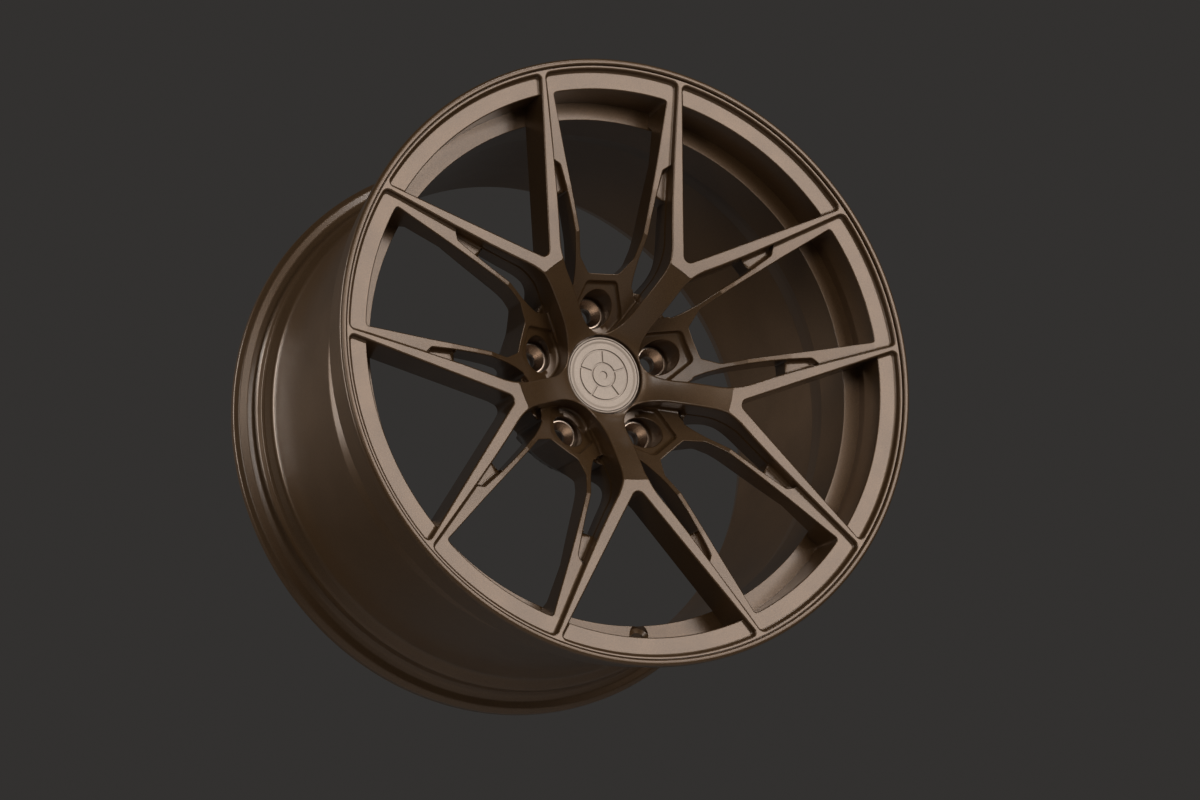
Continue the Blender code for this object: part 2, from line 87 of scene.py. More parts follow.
# ---------------------------------------------------------------- small geometry helpers
def place(points):
    """(x, depth, z) in millimetres to the row frame in metres."""
    pts = np.asarray(points, float).reshape(-1, 3) * 0.001
    pts[:, 1] += FRONT_Y * 0.001
    return pts


def smooth_through(xs, ys):
    """A smooth curve through the points, as a function."""
    xs, ys = np.array(xs, float), np.array(ys, float)
    slope = np.gradient(ys, xs)

    def value(x):
        x = np.clip(np.asarray(x, float), xs[0], xs[-1])
        i = np.clip(np.searchsorted(xs, x) - 1, 0, len(xs) - 2)
        h = xs[i + 1] - xs[i]
        t = (x - xs[i]) / h
        a = (1 + 2 * t) * (1 - t) ** 2 * ys[i] + t * (1 - t) ** 2 * h * slope[i]
        return a + t * t * (3 - 2 * t) * ys[i + 1] + t * t * (t - 1) * h * slope[i + 1]

    return value


def rounded(corners, step=2.0):
    """A polyline with its corners turned into arcs. A corner is (x, y) or (x, y, radius)."""
    pts = [np.array(c[:2], float) for c in corners]
    radii = [c[2] if len(c) > 2 else 60.0 for c in corners]
    out = [pts[0]]
    for i in range(1, len(pts) - 1):
        a, b, c = pts[i - 1], pts[i], pts[i + 1]
        to_a, to_c = a - b, c - b
        len_a, len_c = np.linalg.norm(to_a), np.linalg.norm(to_c)
        to_a, to_c = to_a / len_a, to_c / len_c
        half = 0.5 * math.acos(float(np.clip(to_a @ to_c, -1, 1)))
        if half > math.radians(89.7) or radii[i] <= 0:
            out.append(b)
            continue
        reach = min(radii[i] / math.tan(half), 0.49 * len_a, 0.49 * len_c)
        radius = reach * math.tan(half)
        middle = b + (to_a + to_c) / np.linalg.norm(to_a + to_c) * radius / math.sin(half)
        start, end = b + to_a * reach, b + to_c * reach
        turn = math.pi - 2 * half
        n = max(2, math.ceil(turn / math.radians(11)), math.ceil(radius * turn / step))
        u, w = start - middle, end - middle
        for k in range(n + 1):
            t = k / n
            v = (math.sin((1 - t) * turn) * u + math.sin(t * turn) * w) / math.sin(turn)
            out.append(middle + v)
    out.append(pts[-1])
    clean = [out[0]]
    for p in out[1:]:
        if np.linalg.norm(p - clean[-1]) > 0.02:
            clean.append(p)
    return np.array(clean)


def subdivided(line, step):
    """The polyline with no stretch longer than step."""
    out = []
    for a, b in zip(line[:-1], line[1:]):
        n = max(1, math.ceil(np.linalg.norm(b - a) / step))
        out += [a + (b - a) * k / n for k in range(n)]
    out.append(line[-1])
    return np.array(out)


def arc(radius, start, end, step=2.5, centre=(0.0, 0.0)):
    """Points on a circle, angles in degrees."""
    n = max(2, math.ceil(radius * abs(math.radians(end - start)) / step))
    a = np.radians(np.linspace(start, end, n + 1))
    return np.stack([centre[0] + radius * np.cos(a), centre[1] + radius * np.sin(a)], 1)


def offset(line, distance):
    """The polyline moved to its left by distance."""
    d = np.diff(line, axis=0)
    d /= np.linalg.norm(d, axis=1)[:, None]
    first = np.vstack([d[:1], d])
    last = np.vstack([d, d[-1:]])
    mean = first + last
    mean /= np.maximum((mean * first).sum(1), 0.3)[:, None]
    return line + np.stack([-mean[:, 1], mean[:, 0]], 1) * distance


def inside(loop, pts):
    p = np.asarray(loop, float)
    q = np.roll(p, -1, axis=0)
    x, y = pts[:, 0][:, None], pts[:, 1][:, None]
    cross = (p[:, 1] > y) != (q[:, 1] > y)
    rise = np.where(q[:, 1] == p[:, 1], 1e-12, q[:, 1] - p[:, 1])
    at = p[:, 0] + (y - p[:, 1]) * (q[:, 0] - p[:, 0]) / rise
    return ((cross & (x < at)).sum(1) % 2) == 1


def nearest(pts, segs):
    """Distance from each point to the nearest segment, and the direction away from it."""
    if len(segs) == 0:
        return np.full(len(pts), 1e6), np.zeros((len(pts), 2))
    a, d = segs[:, :2], segs[:, 2:] - segs[:, :2]
    length = (d * d).sum(1)
    dist, away = np.empty(len(pts)), np.empty((len(pts), 2))
    for lo in range(0, len(pts), 2000):
        p = pts[lo:lo + 2000, None, :]
        t = np.clip(((p - a) * d).sum(2) / length, 0, 1)
        gap = p - a - t[:, :, None] * d
        r = np.sqrt((gap * gap).sum(2))
        k = r.argmin(1)
        rows = np.arange(len(k))
        dist[lo:lo + 2000] = r[rows, k]
        away[lo:lo + 2000] = gap[rows, k] / np.maximum(r[rows, k], 1e-12)[:, None]
    return dist, away


def as_segments(line):
    return np.hstack([line[:-1], line[1:]])


def round_over(e, radius):
    """How far a rounded edge has dropped at distance e from the edge, and its slope."""
    e = np.maximum(e, 1e-4)
    left = np.maximum(radius - e, 0.0)
    root = np.sqrt(np.maximum(radius * radius - left * left, 1e-12))
    return np.where(e < radius, radius - root, 0.0), np.where(e < radius, -left / root, 0.0)


def ring_steps(radius, n=4):
    return [radius * (1 - math.cos(math.pi / 2 * k / n)) for k in range(1, n + 1)]


# ---------------------------------------------------------------- mesh objects
def new_mesh(name, verts, faces, normals=None):
    mesh = bpy.data.meshes.new(name)
    mesh.from_pydata([tuple(v) for v in verts], [], faces)
    mesh.update()
    mesh.shade_smooth()
    if normals is not None:
        mesh.normals_split_custom_set(normals)
    ob = bpy.data.objects.new(name, mesh)
    bpy.context.scene.collection.objects.link(ob)
    return ob


def weighted(ob, angle=30.0):
    """Crisp flat faces and smooth fillets on a smooth-shaded piece."""
    ob.data.shade_smooth()
    ob.data.set_sharp_from_angle(angle=math.radians(angle))
    mod = ob.modifiers.new("weighted_normals", "WEIGHTED_NORMAL")
    mod.keep_sharp = True
    mod.weight = 60
    return ob


def lathe(name, profile, segments, centre=(0.0, 0.0), sharp=30.0):
    """A closed profile of (radius, depth) turned about the wheel's axis direction."""
    pts = np.asarray(profile, float)
    n = len(pts)
    a = np.radians(np.arange(segments) * 360.0 / segments)
    x = np.outer(np.cos(a), pts[:, 0]) + centre[0]
    z = np.outer(np.sin(a), pts[:, 0]) + centre[1]
    d = np.tile(pts[:, 1], (segments, 1))
    verts = place(np.stack([x, d, z], 2))
    nxt = np.roll(pts, -1, axis=0)
    forwards = (pts[:, 0] * nxt[:, 1] - nxt[:, 0] * pts[:, 1]).sum() > 0
    faces = []
    for i in range(segments):
        j = (i + 1) % segments
        for k in range(n):
            m = (k + 1) % n
            quad = (i * n + k, i * n + m, j * n + m, j * n + k)
            faces.append(quad if forwards else quad[::-1])
    return weighted(new_mesh(name, verts, faces), sharp)


# ---------------------------------------------------------------- machined solids with ten-fold symmetry
class Plan:
    """A triangulated plan of the half sector between a lug's direction and the next spoke's."""

    def __init__(self, lines, r_in, r_out, grid, clear=1.1, border_step=3.0):
        verts, edges = [], []
        for line in lines:
            base = len(verts)
            verts += [Vector(p) for p in line]
            edges += [(base + i, base + i + 1) for i in range(len(line) - 1)]
        edge_dir = np.array([math.cos(math.radians(HALF)), math.sin(math.radians(HALF))])
        segs = np.vstack([as_segments(line) for line in lines])
        for border in ([(r_in, 0), (r_out, 0)], [edge_dir * r_in, edge_dir * r_out]):
            border = subdivided(np.array(border, float), border_step)
            away, _ = nearest(border, segs)
            apart = away > 0.4 * clear
            apart[[0, -1]] = True
            border = border[apart]
            base = len(verts)
            verts += [Vector(p) for p in border]
            edges += [(base + i, base + i + 1) for i in range(len(border) - 1)]
        pts = self.filling(r_in, r_out, grid)
        dist, _ = nearest(pts, segs)
        verts += [Vector(p) for p in pts[dist > clear]]
        res = delaunay_2d_cdt(verts, edges, [], 0, 1e-4)
        self.points = np.array([tuple(v) for v in res[0]])
        tris = np.array([f for f in res[2] if len(f) == 3])
        ab = self.points[tris[:, 1]] - self.points[tris[:, 0]]
        ac = self.points[tris[:, 2]] - self.points[tris[:, 0]]
        cross = ab[:, 0] * ac[:, 1] - ab[:, 1] * ac[:, 0]
        tris[cross < 0] = tris[cross < 0][:, ::-1]
        tris = tris[np.abs(cross) > 1e-7]
        c = self.points[tris].mean(1)
        angle = np.degrees(np.arctan2(c[:, 1], c[:, 0]))
        self.tris = tris[(angle > 0) & (angle < HALF)]
        p = self.points
        side = -p[:, 0] * edge_dir[1] + p[:, 1] * edge_dir[0]
        low, high = np.abs(p[:, 1]) < 2e-3, np.abs(side) < 2e-3
        p[low, 1] = 0.0
        along = p[high] @ edge_dir
        p[high] = along[:, None] * edge_dir
        self.low, self.high = low, high
        self.tris = self.tris[~(low[self.tris].all(1) | high[self.tris].all(1))]

    @staticmethod
    def filling(r_in, r_out, grid):
        pts = []
        r = r_in + 1.0
        while r < r_out:
            step = grid(r)
            n = max(1, round(math.radians(HALF) * r / step))
            for i in range(n):
                a = math.radians(HALF * (i + 0.5) / n)
                pts.append((r * math.cos(a), r * math.sin(a)))
            r += step * 0.9
        return np.array(pts)


class Solid:
    """Front and back surfaces over a plan, with upright walls where their levels differ."""

    def __init__(self, plan, label, front_base, back_base, fronts, backs):
        self.plan, self.front_base, self.back_base = plan, front_base, back_base
        self.fronts, self.backs = fronts, backs
        pts, tris = plan.points, plan.tris
        self.centres = pts[tris].mean(1)
        self.lab, self.back_lab = label(self.centres)
        self.find_edges()
        self.solid = np.nonzero(self.lab >= 0)[0]
        self.build()

    def on_border(self, a, b):
        low, high = self.plan.low, self.plan.high
        return (low[a] and low[b]) or (high[a] and high[b])

    def find_edges(self):
        tris = self.plan.tris
        self.owner = {}
        for k, t in enumerate(tris):
            for i in range(3):
                self.owner[(int(t[i]), int(t[(i + 1) % 3]))] = k
        between = {}
        pts = self.plan.points
        for (a, b), k in self.owner.items():
            o = self.owner.get((b, a))
            if o is None:
                if self.on_border(a, b):
                    continue
                other, other_back = OUTSIDE, OUTSIDE
            else:
                other, other_back = int(self.lab[o]), int(self.back_lab[o])
            mine, mine_back = int(self.lab[k]), int(self.back_lab[k])
            seg = (*pts[a], *pts[b])
            if mine >= 0 and mine != other:
                between.setdefault(("front", mine, other), []).append(seg)
            if mine >= 0 and mine_back != other_back:
                between.setdefault(("back", mine_back, other_back), []).append(seg)
        self.between = {key: np.array(s) for key, s in between.items()}

    def edge_set(self, side, mine, others):
        found = [self.between[(side, mine, o)] for o in others if (side, mine, o) in self.between]
        return np.vstack(found) if found else np.zeros((0, 4))

    def blend(self, side, g, pts, rules):
        """Rounded and filleted edges: the change in depth and its gradient."""
        r = np.hypot(pts[:, 0], pts[:, 1])
        change, grad = np.zeros(len(pts)), np.zeros((len(pts), 2))
        for sign in (1, -1):
            best, slope = np.zeros(len(pts)), np.zeros((len(pts), 2))
            for others, radius, rule_sign in rules:
                if rule_sign != sign:
                    continue
                dist, away = nearest(pts, self.edge_set(side, g, others))
                rho = np.asarray(radius(r) if callable(radius) else radius, float) * np.ones(len(r))
                drop, d_drop = round_over(dist, rho)
                more = drop > best
                best = np.where(more, drop, best)
                slope = np.where(more[:, None], d_drop[:, None] * away, slope)
            change += sign * best
            grad += sign * slope
        return change, grad

    def surface(self, side, g, pts):
        """Depth and gradient of one region's front or back surface."""
        r = np.hypot(pts[:, 0], pts[:, 1])
        base = self.front_base[g] if side == "front" else self.back_base[g]
        h = 5e-4
        slope = (base(r + h) - base(r - h)) / (2 * h)
        out = pts / np.maximum(r, 1e-6)[:, None]
        rules = (self.fronts if side == "front" else self.backs).get(g, [])
        change, grad = self.blend(side, g, pts, rules)
        if side == "back":
            change, grad = -change, -grad
        return base(r) + change, slope[:, None] * out + grad

    def corners(self, side):
        """Depth and normal of every corner of the kept triangles."""
        pts, tris = self.plan.points, self.plan.tris[self.solid]
        labels = (self.lab if side == "front" else self.back_lab)[self.solid]
        depth, normal = np.zeros(tris.shape), np.zeros((*tris.shape, 3))
        for g in np.unique(labels):
            rows = np.nonzero(labels == g)[0]
            used = np.unique(tris[rows])
            value, _ = self.surface(side, int(g), pts[used])
            lookup = dict(zip(used.tolist(), value.tolist()))
            depth[rows] = np.vectorize(lookup.get)(tris[rows])
            p = pts[tris[rows]]
            c = p.mean(1, keepdims=True)
            near = (p + 0.012 * (c - p)).reshape(-1, 2)
            _, grad = self.surface(side, int(g), near)
            n = np.stack([grad[:, 0], -np.ones(len(grad)), grad[:, 1]], 1)
            if side == "back":
                n = -n
            n /= np.linalg.norm(n, axis=1)[:, None]
            normal[rows] = n.reshape(-1, 3, 3)
        return tris, depth, self.merged(tris, normal)

    @staticmethod
    def merged(tris, normal, limit=math.cos(math.radians(12))):
        """Averages the corner normals round each vertex that differ by less than 12 degrees."""
        groups = {}
        for k, t in enumerate(tris):
            for i in range(3):
                groups.setdefault(int(t[i]), []).append((k, i))
        out = normal.copy()
        for members in groups.values():
            n = np.array([normal[m] for m in members])
            close = (n @ n.T) > limit
            mean = close @ n
            mean /= np.linalg.norm(mean, axis=1)[:, None]
            for m, v in zip(members, mean):
                out[m] = v
        return out

    def build(self):
        tris, front, n_front = self.corners("front")
        _, back, n_back = self.corners("back")
        row_of = {int(k): i for i, k in enumerate(self.solid)}
        pts = self.plan.points
        self.index, self.verts = {}, []
        self.faces, self.normals = [], []
        levels = {}
        for t, f, b in zip(tris, front, back):
            for i in range(3):
                levels.setdefault(int(t[i]), set()).update((round(f[i], 3), round(b[i], 3)))
        for t, f, b, nf, nb in zip(tris, front, back, n_front, n_back):
            self.add([(t[i], f[i], nf[i]) for i in range(3)])
            self.add([(t[i], b[i], nb[i]) for i in (2, 1, 0)])
        walls = []
        for (a, b), k in self.owner.items():
            if k not in row_of:
                continue
            row = row_of[k]
            i = int(np.nonzero(tris[row] == a)[0][0])
            j = (i + 1) % 3
            o = self.owner.get((b, a))
            other = row_of.get(o) if o is not None else None
            if other is None:
                if o is None and self.on_border(a, b):
                    continue
                walls.append((a, b, front[row, i], back[row, i], front[row, j], back[row, j]))
                continue
            oi = int(np.nonzero(tris[other] == a)[0][0])
            oj = int(np.nonzero(tris[other] == b)[0][0])
            if front[other, oi] - front[row, i] > 2e-3 or front[other, oj] - front[row, j] > 2e-3:
                walls.append((a, b, front[row, i], front[other, oi], front[row, j], front[other, oj]))
            if back[row, i] - back[other, oi] > 2e-3 or back[row, j] - back[other, oj] > 2e-3:
                walls.append((a, b, back[other, oi], back[row, i], back[other, oj], back[row, j]))
        flat = {}
        for a, b, *_ in walls:
            e = pts[b] - pts[a]
            n = np.array([e[1], -e[0]]) / np.linalg.norm(e)
            flat.setdefault(a, []).append(n)
            flat.setdefault(b, []).append(n)
        for a, b, a0, a1, b0, b1 in walls:
            e = pts[b] - pts[a]
            n = np.array([e[1], -e[0]]) / np.linalg.norm(e)
            ends = []
            for v in (a, b):
                near = [m for m in flat[v] if m @ n > 0.82]
                mean = np.sum(near, axis=0)
                mirror = self.mirror_of(v)
                if mirror is not None:
                    mean = mean - (mean @ mirror) * mirror
                mean /= np.linalg.norm(mean)
                ends.append(np.array([mean[0], 0.0, mean[1]]))
            poly = [(a, h, ends[0]) for h in self.column(levels[a], a0, a1)]
            poly += [(b, h, ends[1]) for h in self.column(levels[b], b0, b1)[::-1]]
            if len(poly) >= 3:
                self.add(poly)

    def mirror_of(self, v):
        """The unit normal of the symmetry plane a border vertex lies on."""
        if self.plan.low[v]:
            return np.array([0.0, 1.0])
        if self.plan.high[v]:
            return np.array([-math.sin(math.radians(HALF)), math.cos(math.radians(HALF))])
        return None

    @staticmethod
    def column(levels, lo, hi):
        lo, hi = round(lo, 3), round(hi, 3)
        if hi - lo < 2e-3:
            return [lo]
        return [lo] + [h for h in sorted(levels) if lo + 1e-3 < h < hi - 1e-3] + [hi]

    def add(self, corners):
        face, norms = [], []
        for v, depth, n in corners:
            key = (int(v), round(float(depth), 3))
            if key not in self.index:
                self.index[key] = len(self.verts)
                x, z = self.plan.points[int(v)]
                self.verts.append((x, key[1], z))
            i = self.index[key]
            if face and face[-1] == i:
                continue
            face.append(i)
            norms.append(n)
        if len(set(face)) >= 3:
            self.faces.append(face)
            self.normals.append(norms)

    def object(self, name):
        """Mirrors and repeats the half sector round the axis as one closed mesh."""
        base = np.array(self.verts)
        all_verts, faces, normals = [], [], []
        for k in range(LUGS):
            for flip in (1.0, -1.0):
                turn = math.radians(LUG_START + k * PITCH)
                c, s = math.cos(turn), math.sin(turn)
                mat = np.array([[c, 0, -s * flip], [0, 1, 0], [s, 0, c * flip]])
                first = sum(len(v) for v in all_verts)
                all_verts.append(base @ mat.T)
                for face, norm in zip(self.faces, self.normals):
                    ids = [first + i for i in face]
                    n = np.array(norm) @ mat.T
                    faces.append(ids if flip > 0 else ids[::-1])
                    normals.append(n if flip > 0 else n[::-1])
        cloud = np.vstack(all_verts)
        _, first, where = np.unique(np.round(cloud, 3), axis=0, return_index=True, return_inverse=True)
        where = where.reshape(-1)
        kept, kept_normals = [], []
        for ids, norm in zip(faces, normals):
            ids = [int(where[i]) for i in ids]
            if len(set(ids)) == len(ids):
                kept.append(ids)
                kept_normals.append(norm)
        return new_mesh(name, place(cloud[first]), kept, np.vstack(kept_normals))


# ---------------------------------------------------------------- the machined face: plan outlines
SPOKE_EDGE = [(60.0, 9.8), (75.0, 9.9), (88.0, 10.0), (95.0, 11.2), (102.0, 14.0), (108.0, 17.3),
              (121.0, 26.3), (140.0, 38.7), (170.0, 57.2), (204.0, 77.6)]
SCALLOP = [(35.2, 5.0), (37.0, 10.0), (39.6, 14.4), (43.6, 19.0), (48.2, 23.1)]
FORK_POINT = 102.3       # where the inner edges of a fork would meet
FORK_ANGLE = 34.7
FORK_RADIUS = 5.6
CORNER_RADIUS = 5.0


def to_lug(s, w):
    """A point given along and across a spoke, in the lug's own plan axes."""
    c, n = math.cos(math.radians(HALF)), math.sin(math.radians(HALF))
    return (s * c + w * n, s * n - w * c)


def meet_circle(p, q, radius):
    """Where the line from p through q reaches the circle."""
    p, q = np.array(p, float), np.array(q, float)
    d = (q - p) / np.linalg.norm(q - p)
    b = p @ d
    return p + d * (-b + math.sqrt(b * b - p @ p + radius * radius))


def cell_line():
    """Spoke wall round a lug frame: scallop, spoke, arm, corner, lip wall."""
    arm = [to_lug(s, w) for s, w in SPOKE_EDGE]
    corner = meet_circle(arm[-2], arm[-1], R_LAND_IN)
    end = math.degrees(math.atan2(corner[1], corner[0]))
    lip = arc(R_LAND_IN, end - 2.2, -1.5)
    pts = [(37.0, -10.0), (35.2, -5.0), (34.6, 0.0)] + SCALLOP + arm
    pts += [(corner[0], corner[1], CORNER_RADIUS)]
    return np.vstack([rounded(pts + [tuple(lip[0])]), lip[1:]])


def kite_line():
    """Inner wall of a fork: rounded tip, straight arm, corner, lip wall."""
    t = math.tan(math.radians(FORK_ANGLE))
    far = (200.0, (200.0 - FORK_POINT) * t)
    corner = meet_circle((FORK_POINT, 0.0), far, R_LAND_IN)
    end = math.degrees(math.atan2(corner[1], corner[0]))
    lip = arc(R_LAND_IN, end - 2.2, -1.5)
    pts = [(115.0, -(115.0 - FORK_POINT) * t), (FORK_POINT, 0.0, FORK_RADIUS)]
    pts += [(corner[0], corner[1], CORNER_RADIUS), tuple(lip[0])]
    line = np.vstack([rounded(pts), lip[1:]])
    return np.array([to_lug(s, w) for s, w in line])


WINDOW_CORNERS = [(81.4, -8.0), (81.4, 13.6, 3.0), (92.2, 23.9, 6.0), (104.5, 27.2), (121.0, 30.8),
                  (170.0, 41.1), (202.0, 47.3), (218.5, 50.6, 3.5)]


def window_line():
    rim = arc(R_BAND_IN, 11.9, -1.5)
    line = rounded(WINDOW_CORNERS + [tuple(rim[0])])
    return np.vstack([line, rim[1:]])


SLOT_SIDE = [(66.6, 40.5), (69.6, 30.4, 2.4), (70.2, 26.4, 2.2), (78.5, 26.4), (91.5, 28.2), (107.5, 32.2),
             (125.0, 36.0), (141.0, 40.0, 1.5), (136.6, 53.0)]
FLOOR_SIDE = [(141.0, 40.0), (155.0, 44.0), (161.5, 46.0, 3.0), (166.6, 55.0)]
GROOVE_SIDE = [(71.5, 27.6), (65.4, 28.8, 2.0), (61.6, 31.6, 3.0), (57.6, 35.4)]
POCKET_SIDE = [(30.0, 7.2), (42.0, 16.2), (50.0, 22.2, 3.0), (56.0, 20.9), (76.2, 13.4, 4.5), (76.2, -13.4)]


def ring_line(radius, centre=(0.0, 0.0)):
    if centre == (0.0, 0.0):
        return arc(radius, 0.0, HALF, 2.2)
    return arc(radius, -8.0, 188.0, 1.6, centre)


def closed_half(line):
    """A line between the two borders, closed through its mirror image about the lug's direction."""
    keep = line[line[:, 1] > 0]
    return np.vstack([keep, keep[::-1] * np.array([1.0, -1.0])])


cell, kite, window = cell_line(), kite_line(), window_line()
slot_side, floor_side = rounded(SLOT_SIDE, 1.5), rounded(FLOOR_SIDE, 1.5)
pocket_side, groove_side = rounded(POCKET_SIDE, 1.5), rounded(GROOVE_SIDE, 1.5)
cell_loop, window_loop = closed_half(cell), closed_half(window)
pocket_loop = closed_half(pocket_side[pocket_side[:, 0] > 0])
kite_loop = np.vstack([kite, [to_lug(236.0, -3.0)], [to_lug(150.0, -3.0)]])
slot_loop = np.vstack([slot_side, [(135.0, 58.0)], [to_lug(96.0, 2.0)], [to_lug(72.0, 2.0)]])
floor_loop = np.vstack([floor_side, [(166.0, 62.0)], [(134.0, 60.0)], [(136.6, 53.0)]])
groove_loop = np.vstack([groove_side, [(62.0, 42.0)], [(66.6, 40.5)], [(69.6, 30.4)]])
LUG_CENTRE = (R_LUG, 0.0)

dish = smooth_through([34.0, 36.0, 40.0, 44.0, 50.0, 57.0, 69.0, 80.0, R_CREASE],
                      [63.2, 62.4, 60.0, 57.0, 52.2, 46.6, 38.2, 31.6, 22.6])


def raised_front(r):
    outer = np.interp(r, [R_CREASE, 236.0, R_FACE_EDGE], [22.6, 3.1, 2.4])
    return np.where(r < R_CREASE, dish(r), outer)


def frame_front(r):
    return np.interp(r, [44.0, 75.0, 82.0, 92.0, 104.0, R_WEB_CREASE, 127.0, 150.0, R_BAND_IN, R_FACE_EDGE],
                     [77.4, 55.3, 50.2, 43.0, 34.4, 28.2, 25.2, 20.8, 8.8, 7.3])


def pocket_front(r):
    return np.minimum(frame_front(r) + POCKET_DROP, D_POCKET_MOST)


back_curve = smooth_through(
    [R_PAD, 80.0, 86.0, 93.0, 100.0, 110.0, 130.0, 150.0, 170.0, 192.0, 203.0, 208.0, R_BACK_END],
    [103.0, 98.0, 84.0, 70.0, 61.0, 55.0, 48.6, 43.0, 36.8, 30.4, 31.5, 36.0, 43.2])


def spoke_back(r):
    return np.where(r < R_PAD, D_PAD, back_curve(r))


def level(depth):
    return lambda r: np.full(np.shape(r), float(depth))


RAISED_ROUND, FRAME_ROUND, ROOT_FILLET, POCKET_FILLET, WEB_FILLET = 1.5, 1.0, 2.4, 2.6, 3.0


def root_radius(r):
    return np.clip(0.9 * (frame_front(r) - raised_front(r) - RAISED_ROUND), 0.4, ROOT_FILLET)


def face_label(c):
    r = np.hypot(c[:, 0], c[:, 1])
    lug = np.hypot(c[:, 0] - R_LUG, c[:, 1])
    wall, _ = nearest(c, as_segments(cell))
    in_cell, in_kite = inside(cell_loop, c), inside(kite_loop, c)
    lab = np.full(len(c), RAISED)
    lab[r < R_RECESS] = RECESS
    lab[in_kite] = np.where(r[in_kite] < R_BAND_IN, VOID, FRAME)
    lab[in_cell] = FRAME
    pocket = in_cell & inside(pocket_loop, c)
    lab[pocket] = POCKET
    slot = in_cell & ~pocket & inside(slot_loop, c)
    lab[slot] = np.where(wall[slot] < STEP_LINE, WEB, VOID)
    lab[in_cell & ~pocket & ~slot & (inside(floor_loop, c) | inside(groove_loop, c))] = WEB
    lab[in_cell & inside(window_loop, c)] = VOID
    lab[in_cell & (lug < R_SOCKET)] = SHELF
    lab[in_cell & (lug < R_SEAT_BORE)] = BORE
    lab[in_cell & (lug < R_STUD_BORE)] = VOID
    lab[(r < R_CLIP_BORE) | (r > R_FACE_EDGE)] = VOID
    back = np.where(r < R_HUB_BORE, 1, np.where(r < R_BAND_IN, 0, 2))
    back[lab < 0] = VOID
    return lab, back


def face_lines():
    lines = [cell, kite, window, slot_side, floor_side, pocket_side, groove_side]
    raised_side = ring_steps(RAISED_ROUND)
    frame_side = ring_steps(FRAME_ROUND, 3)
    root_side = ring_steps(ROOT_FILLET, 3)
    segs = {id(line): as_segments(line) for line in lines}

    def rings(line, steps, side, keep):
        dense = subdivided(line, 3.0)
        for e in steps:
            moved = offset(dense, side * e)
            dist, _ = nearest(moved, segs[id(line)])
            good = (dist > e - 0.03) & keep(moved)
            run = []
            for p, ok in zip(moved, good):
                if ok:
                    run.append(p)
                    continue
                if len(run) > 1:
                    lines.append(np.array(run))
                run = []
            if len(run) > 1:
                lines.append(np.array(run))

    def region(*labels):
        return lambda p: np.isin(face_label(p)[0], labels)

    for line in (cell, kite):
        for side in (1, -1):
            rings(line, raised_side, side, region(RAISED))
            rings(line, root_side, side, region(FRAME))
    for side in (1, -1):
        rings(cell, [STEP_LINE], side, region(WEB, VOID))
        rings(cell, ring_steps(POCKET_FILLET, 3), side, region(POCKET))
        rings(window, frame_side, side, region(FRAME))
        rings(slot_side, frame_side, side, region(FRAME))
        rings(floor_side, frame_side, side, region(FRAME))
        rings(groove_side, frame_side, side, region(FRAME))
        rings(groove_side, ring_steps(WEB_FILLET, 3), side, region(WEB))
        rings(pocket_side, frame_side, side, region(FRAME))
        rings(pocket_side, ring_steps(POCKET_FILLET, 3), side, region(POCKET))
        rings(floor_side, ring_steps(WEB_FILLET, 3), side, region(WEB))
        rings(cell, ring_steps(WEB_FILLET, 3), side, region(WEB))
    circles = [R_CLIP_BORE, R_RECESS, R_HUB_BORE, R_CREASE, R_WEB_CREASE, R_PAD, R_BACK_END, R_BAND_IN,
               R_FACE_EDGE]
    circles += [R_RECESS + e for e in ring_steps(0.9, 3)] + [R_FACE_EDGE - e for e in ring_steps(0.35, 2)]
    circles += [R_HUB_BORE + e for e in ring_steps(1.5, 3)] + [R_BAND_IN + e for e in frame_side]
    circles += [R_PAD - e for e in ring_steps(1.5, 2)]
    lines += [ring_line(r) for r in circles]
    bores = (R_SOCKET, R_SEAT_BORE, R_STUD_BORE, R_STUD_BORE + 0.5, R_STUD_BORE + 1.2)
    lines += [ring_line(r, LUG_CENTRE) for r in bores]
    lines += [ring_line(R_SOCKET + e, LUG_CENTRE) for e in ring_steps(0.8, 2)]
    return lines


def face_grid(r):
    return 2.6 if r < 60 else 3.4 if r < 120 else 5.5


face_fronts = {
    RAISED: [((VOID, FRAME, POCKET, WEB), RAISED_ROUND, 1), ((RECESS,), 0.9, 1), ((OUTSIDE,), 0.35, 1)],
    FRAME: [((VOID, WEB, POCKET), FRAME_ROUND, 1), ((RAISED,), root_radius, -1)],
    POCKET: [((RAISED,), POCKET_FILLET, -1), ((FRAME,), POCKET_FILLET, -1), ((SHELF,), 0.8, 1)],
    WEB: [((RAISED,), WEB_FILLET, -1), ((FRAME,), WEB_FILLET, -1), ((VOID,), 0.8, 1)],
}
face_plan = Plan(face_lines(), R_CLIP_BORE, R_FACE_EDGE, face_grid)
face_solid = Solid(
    face_plan, face_label,
    {RAISED: raised_front, FRAME: frame_front, POCKET: pocket_front, SHELF: level(D_SHELF),
     BORE: level(D_SEAT_BORE), WEB: lambda r: frame_front(r) + FLOOR_DROP, RECESS: level(D_CAP_SEAT)},
    {0: spoke_back, 1: level(D_BORE_FLOOR), 2: level(D_LEDGE + 0.7)},
    face_fronts, {0: [((VOID,), 1.2, 1), ((1,), 1.5, 1)]})
face = face_solid.object("machined_face")

